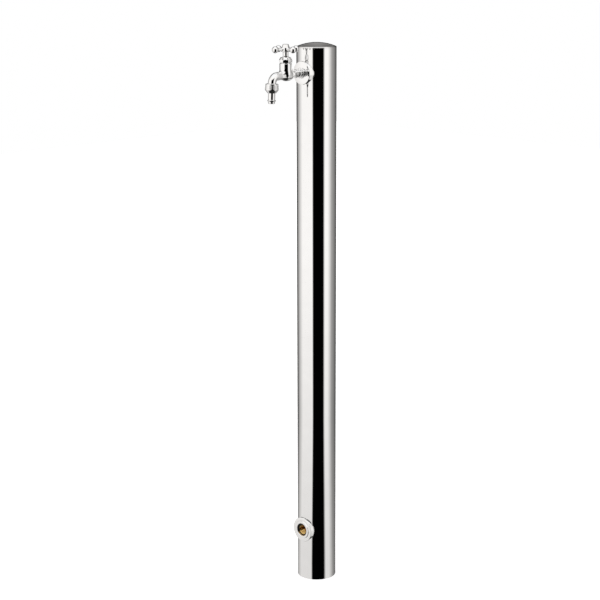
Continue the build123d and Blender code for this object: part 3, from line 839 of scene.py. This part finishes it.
body_cell = 0.6
body_room_across = 15
body_room_out = (40, 130)
body_room_up = 28.5
tap_body = skin(
    "tap_casting", tap_body_shape,
    (-body_room_across, -body_room_out[1], tap_height - body_room_up),
    (body_room_across, -body_room_out[0], tap_height + body_room_up), body_cell,
)
fit(tap_body, "post", "chrome_tap", chrome, "tap_body")


# Cap nut: an eight-sided nut on the barrel's thread that presses the packing round the
# stem. Under it a little of the barrel's thread shows.

cap_nut_edge = 0.25
cap_nut = eased("gland_nut", "cap_nut", cap_nut_edge, sharp=25.0)
fit(cap_nut, "post", "chrome_fittings", chrome, "cap_nut")


# Stem: a turned and plated spindle that climbs through the packing when the handle is
# turned. Its square end sits in the handle's hub.

stem_finish = bright_metal(
    "plated_stem", (0.93, 0.92, 0.9), dull=0.06, sharp=0.04, grain=0.005, grain_size=900.0, lie=(1, 1, 6)
)
stem = eased("turning_stem", "spindle", 0)
fit(stem, "handle", "bare_spindle", stem_finish, "spindle")


# Cross handle: one casting with a bell-shaped hub and four tapering arms that end in
# balls, ground and chromed. A plain disc closes the screw hole in its top.

handle_base = tap_height + 42.8
hub_radius = 8.6
hub_shoulder_radius = 7.9
hub_shoulder = 7.4
hub_top_radius = 5.3
hub_top = 14.2
hub_overrun = 4
boss_foot = -8.1
boss_head = 1.0
boss_radius = 5.4
arm_count = 4
arm_rise = 4.4
arm_reach = 24.0
arm_root_radius = 3.4
arm_tip_radius = 2.5
arm_taper_end = 17
collar_start, collar_end = 16.9, 18.6
knob_radius = 6.3
arm_turn = math.radians(-9.0)
arm_fillet = 1.8
collar_fillet = 0.5
knob_fillet = 0.7
boss_fillet = 1.6
stem_half_side = 2.65
stem_square = (-0.1, 8.9)
stem_bore = (3.6, -9.4, 1.4)
screw_bore = (1.7, 8.4, 10.4)
screw_head_bore = (3.6, 9.8, 13.2)
disc_bore = (4.85, 12.9, 17.1)
hub_corners = [tuple(p) for p in rounded([
    (-hub_overrun, 0), (hub_radius, 0, 0.7), (hub_radius, arm_rise, 1.2),
    (hub_shoulder_radius, hub_shoulder, 1.0), (hub_top_radius, hub_top, 0.5), (-hub_overrun, hub_top),
])]


def handle_shape(x, y, z):
    """The casting: below zero in the metal, above zero outside and in the holes."""
    dx, dy = x, y + barrel_reach
    up = z - handle_base
    around = np.hypot(dx, dy)
    hub = outline_distance(around, up, hub_corners)
    lowered = up - arm_rise
    for index in range(arm_count):
        turn = arm_turn + index * 2 * math.pi / arm_count
        along = dx * math.cos(turn) + dy * math.sin(turn)
        side = -dx * math.sin(turn) + dy * math.cos(turn)
        off = np.hypot(side, lowered)
        taper = np.interp(along, [0, arm_taper_end], [arm_root_radius, arm_tip_radius])
        arm = np.maximum(np.maximum(off - taper, -along), along - arm_reach)
        collar = round_bar(off, along, arm_root_radius, collar_start, collar_end, 0.6)
        knob = np.sqrt((along - arm_reach) ** 2 + off**2) - knob_radius
        hub = melt(hub, arm, arm_fillet)
        hub = melt(hub, collar, collar_fillet)
        hub = melt(hub, knob, knob_fillet)
    hub = melt(hub, round_bar(around, up, boss_radius, boss_foot, boss_head, 0.5), boss_fillet)
    hollow = bored(np.maximum(np.abs(dx), np.abs(dy)), stem_half_side, up, *stem_square)
    for radius, low, high in (stem_bore, screw_bore, screw_head_bore, disc_bore):
        hollow = np.minimum(hollow, bored(around, radius, up, low, high))
    return np.maximum(hub, -hollow)


handle_cell = 0.5
handle_room = 31
handle_room_low, handle_room_high = -9.5, 15.2
handle = skin(
    "cross_handle_casting", handle_shape,
    (-handle_room, -barrel_reach - handle_room, handle_base + handle_room_low),
    (handle_room, -barrel_reach + handle_room, handle_base + handle_room_high), handle_cell,
)
fit(handle, "handle", "chrome_handle", chrome, "cross_handle")

disc_radius = 4.7
disc_back = 12.9
disc_crown = 0.25
disc = lathe("handle_button", [
    (0, disc_back), (disc_radius, disc_back, 0.1), (disc_radius, hub_top, 0.45),
    (3.2, hub_top + 0.6 * disc_crown), (1.6, hub_top + 0.88 * disc_crown), (0, hub_top + disc_crown),
], Matrix.Translation((0, -barrel_reach, handle_base)), round_steps=96)
fit(disc, "handle", "chrome_handle", chrome, "handle_disc")


# Hose union: a turned grip nut with a fine knurl, screwed on the spout's thread, and the
# hose nipple that it holds by its lip. Both are chromed brass.

along_nozzle = Matrix.Translation((0, -nozzle_reach, bend_height)) @ Matrix.Rotation(-nozzle_tilt, 4, "X")
union_top = -outlet_thread_start - 0.7
union_foot = union_top - 17.4
grip_low = union_top - 11.2
grip_radius = 13.1
grip_top_radius = 12.3
union_top_radius = 12.1
union_foot_radius = 8.1
union_bore = 10.55
union_mouth = 7.1
knurl_count = 80.0
knurl_depth = 0.09
knurl_step = 0.4
nipple_top = -outlet_drop - 1.5
lip_top = nipple_top - 2.0
lip_radius = 10.2
nipple_tip = nipple_top - 26.7
nipple_radius = 6.8
nipple_end_radius = 6.5
nipple_bore = 5.0
bead_radius = 8.1
bead_foot = nipple_tip + 3.4
bead_low = bead_foot + 2.3


def ridge_tree():
    """Ridges round an axis: straight for a knurl, or climbing for a screw thread."""
    tree = bpy.data.node_groups.new("ridges_round_an_axis", "GeometryNodeTree")
    face = tree.interface
    face.new_socket("Geometry", in_out="INPUT", socket_type="NodeSocketGeometry")
    for name, value in (
        ("Ridges round", 36.0), ("Turns per metre", 0.0), ("Depth", 0.0004), ("Low", 0.0), ("High", 0.01),
        ("Run-out", 0.0008), ("Reach from", 0.0), ("Reach to", 1.0),
    ):
        face.new_socket(name, in_out="INPUT", socket_type="NodeSocketFloat").default_value = value
    face.new_socket("Finish", in_out="INPUT", socket_type="NodeSocketMaterial")
    face.new_socket("Geometry", in_out="OUTPUT", socket_type="NodeSocketGeometry")
    given = wire(tree, "NodeGroupInput").outputs
    position = wire(tree, "GeometryNodeInputPosition").outputs[0]
    spot = wire(tree, "ShaderNodeSeparateXYZ", [(0, position)]).outputs

    def sum_up(operation, *values):
        return wire(tree, "ShaderNodeMath", list(enumerate(values)), operation=operation).outputs[0]

    turn = sum_up("ARCTAN2", spot["Y"], spot["X"])
    climb = sum_up("MULTIPLY", sum_up("MULTIPLY", spot["Z"], given["Turns per metre"]), 2 * math.pi)
    phase = sum_up("ADD", sum_up("MULTIPLY", turn, given["Ridges round"]), climb)
    groove = sum_up("MULTIPLY_ADD", sum_up("COSINE", phase), 0.5, 0.5)
    from_low = sum_up("DIVIDE", sum_up("SUBTRACT", spot["Z"], given["Low"]), given["Run-out"])
    from_high = sum_up("DIVIDE", sum_up("SUBTRACT", given["High"], spot["Z"]), given["Run-out"])
    window = sum_up("MINIMUM", from_low, from_high)
    window = sum_up("MINIMUM", sum_up("MAXIMUM", window, 0.0), 1.0)
    square_x = sum_up("MULTIPLY", spot["X"], spot["X"])
    square_y = sum_up("MULTIPLY", spot["Y"], spot["Y"])
    reach = sum_up("SQRT", sum_up("ADD", square_x, square_y))
    past = sum_up("GREATER_THAN", reach, given["Reach from"])
    short = sum_up("LESS_THAN", reach, given["Reach to"])
    deep = sum_up("MULTIPLY", sum_up("MULTIPLY", past, short), given["Depth"])
    sink = sum_up("MULTIPLY", sum_up("MULTIPLY", groove, window), deep)
    share = sum_up("DIVIDE", sink, sum_up("MAXIMUM", reach, 1e-6))
    move = wire(tree, "ShaderNodeCombineXYZ", [
        (0, sum_up("MULTIPLY", sum_up("MULTIPLY", spot["X"], share), -1.0)),
        (1, sum_up("MULTIPLY", sum_up("MULTIPLY", spot["Y"], share), -1.0)),
    ])
    moved = wire(
        tree, "GeometryNodeSetPosition", [("Geometry", given["Geometry"]), ("Offset", move.outputs[0])]
    )
    real = wire(tree, "GeometryNodeRealizeInstances", [("Geometry", moved.outputs[0])])
    painted = wire(
        tree, "GeometryNodeSetMaterial", [("Geometry", real.outputs[0]), ("Material", given["Finish"])]
    )
    wire(tree, "NodeGroupOutput", [("Geometry", painted.outputs[0])])
    return tree


ridges = ridge_tree()


def ridged(piece, place, finish, **inputs):
    """Cut ridges into a turned piece at the origin, then put it in its place."""
    cutter = piece.modifiers.new("ridges", "NODES")
    cutter.node_group = ridges
    for socket in ridges.interface.items_tree:
        if socket.in_out == "INPUT" and socket.name in inputs:
            cutter[socket.identifier] = inputs[socket.name]
        elif socket.in_out == "INPUT" and socket.name == "Finish":
            cutter[socket.identifier] = finish
    settled(piece)
    piece.data.transform(place)
    piece.data.shade_smooth()
    piece.data.set_sharp_from_angle(angle=math.radians(50))
    return piece


def stacked(radius_low, radius_high, low, high, step):
    """The corners of a straight or tapering side in small steps."""
    count = max(1, round((high - low) / step))
    return [
        (radius_low + (radius_high - radius_low) * i / count, low + (high - low) * i / count)
        for i in range(count + 1)
    ]


def scaled(place):
    """A place in millimetres for a mesh already in metres."""
    return Matrix.Translation(place.translation * mm) @ place.to_3x3().to_4x4()


grip = lathe("knurled_union_nut", (
    [(union_mouth, union_foot, 0.2), (union_foot_radius, union_foot, 0.5)]
    + [(grip_radius - 0.2, grip_low - 0.25)]
    + stacked(grip_radius, grip_top_radius, grip_low + 0.2, union_top - 1.0, knurl_step)
    + [(union_top_radius, union_top, 0.5), (union_bore, union_top)]
    + [(union_bore, lip_top), (union_mouth, lip_top)]
), round_steps=640)
ridged(grip, scaled(along_nozzle), chrome, **{
    "Ridges round": knurl_count, "Depth": knurl_depth * mm, "Low": (grip_low + 0.6) * mm,
    "High": (union_top - 1.4) * mm, "Reach from": (union_top_radius - 0.3) * mm,
})
fit(grip, "coupling", "chrome_union", chrome, "coupling_nut")

nipple = lathe("hose_tail", [
    (nipple_bore, nipple_tip, 0.2),
    (nipple_end_radius - 0.8, nipple_tip, 0.2),
    (nipple_end_radius, nipple_tip + 0.8, 0.4),
    (nipple_end_radius, bead_foot, 0.3),
    (bead_radius, bead_low, 0.3),
    (bead_radius, bead_low + 1.0, 0.4),
    (nipple_radius, bead_low + 1.8, 0.4),
    (nipple_radius, lip_top, 0.2),
    (lip_radius, lip_top, 0.2),
    (lip_radius, nipple_top, 0.2),
    (nipple_bore, nipple_top, 0.2),
], along_nozzle)
fit(nipple, "nipple", "chrome_union", chrome, "hose_nipple")


# Threads: the pipe threads of the outlet and of the inlet's socket and the fine one on the
# barrel's neck, each cut as one climbing ridge.

pipe_pitch = 1.814
neck_pitch = 1.5
steps_in_turn = 6
thread_play = 0.2
pipe_thread_radius = 10.4
neck_thread_radius = 10.2
socket_depth = 14.0


def threaded(name, inner, outer, low, high, pitch, depth, place):
    """A sleeve with one climbing ridge on its outside."""
    outside = stacked(outer, outer, low, high, pitch / steps_in_turn)
    sleeve = lathe(name, [(inner, low)] + outside + [(inner, high)], round_steps=96)
    return ridged(sleeve, place, chrome, **{
        "Ridges round": 1.0, "Turns per metre": 1 / (pitch * mm), "Depth": depth * mm, "Low": low * mm,
        "High": high * mm, "Reach from": (inner + 0.1) * mm,
    })


outlet_thread = threaded(
    "outlet_thread", inner=8.2, outer=pipe_thread_radius, low=-outlet_drop + thread_play,
    high=-outlet_thread_start - thread_play, pitch=pipe_pitch, depth=1.0, place=scaled(along_nozzle),
)
fit(outlet_thread, "post", "chrome_tap", chrome)
neck_thread = threaded(
    "neck_thread", inner=8.6, outer=neck_thread_radius, low=barrel_top - 0.4,
    high=neck_top - thread_play, pitch=neck_pitch, depth=0.6,
    place=scaled(Matrix.Translation((0, -barrel_reach, tap_height))),
)
fit(neck_thread, "post", "chrome_tap", chrome)

socket = eased("inlet_elbow", "lower_elbow", 0)
screw_tap = threaded(
    "screw_tap", inner=2.0, outer=pipe_thread_radius, low=seal_seat - socket_depth,
    high=seal_seat + thread_play, pitch=pipe_pitch, depth=1.1, place=scaled(out_of_post(inlet_height)),
)
thread_cut = socket.modifiers.new("thread", "BOOLEAN")
thread_cut.operation = "DIFFERENCE"
thread_cut.solver = "EXACT"
thread_cut.object = screw_tap
settled(socket)
bpy.data.objects.remove(screw_tap)
socket.data.shade_smooth()
socket.data.set_sharp_from_angle(angle=math.radians(40))
fit(socket, "post", "brass_castings", brass, "lower_elbow")
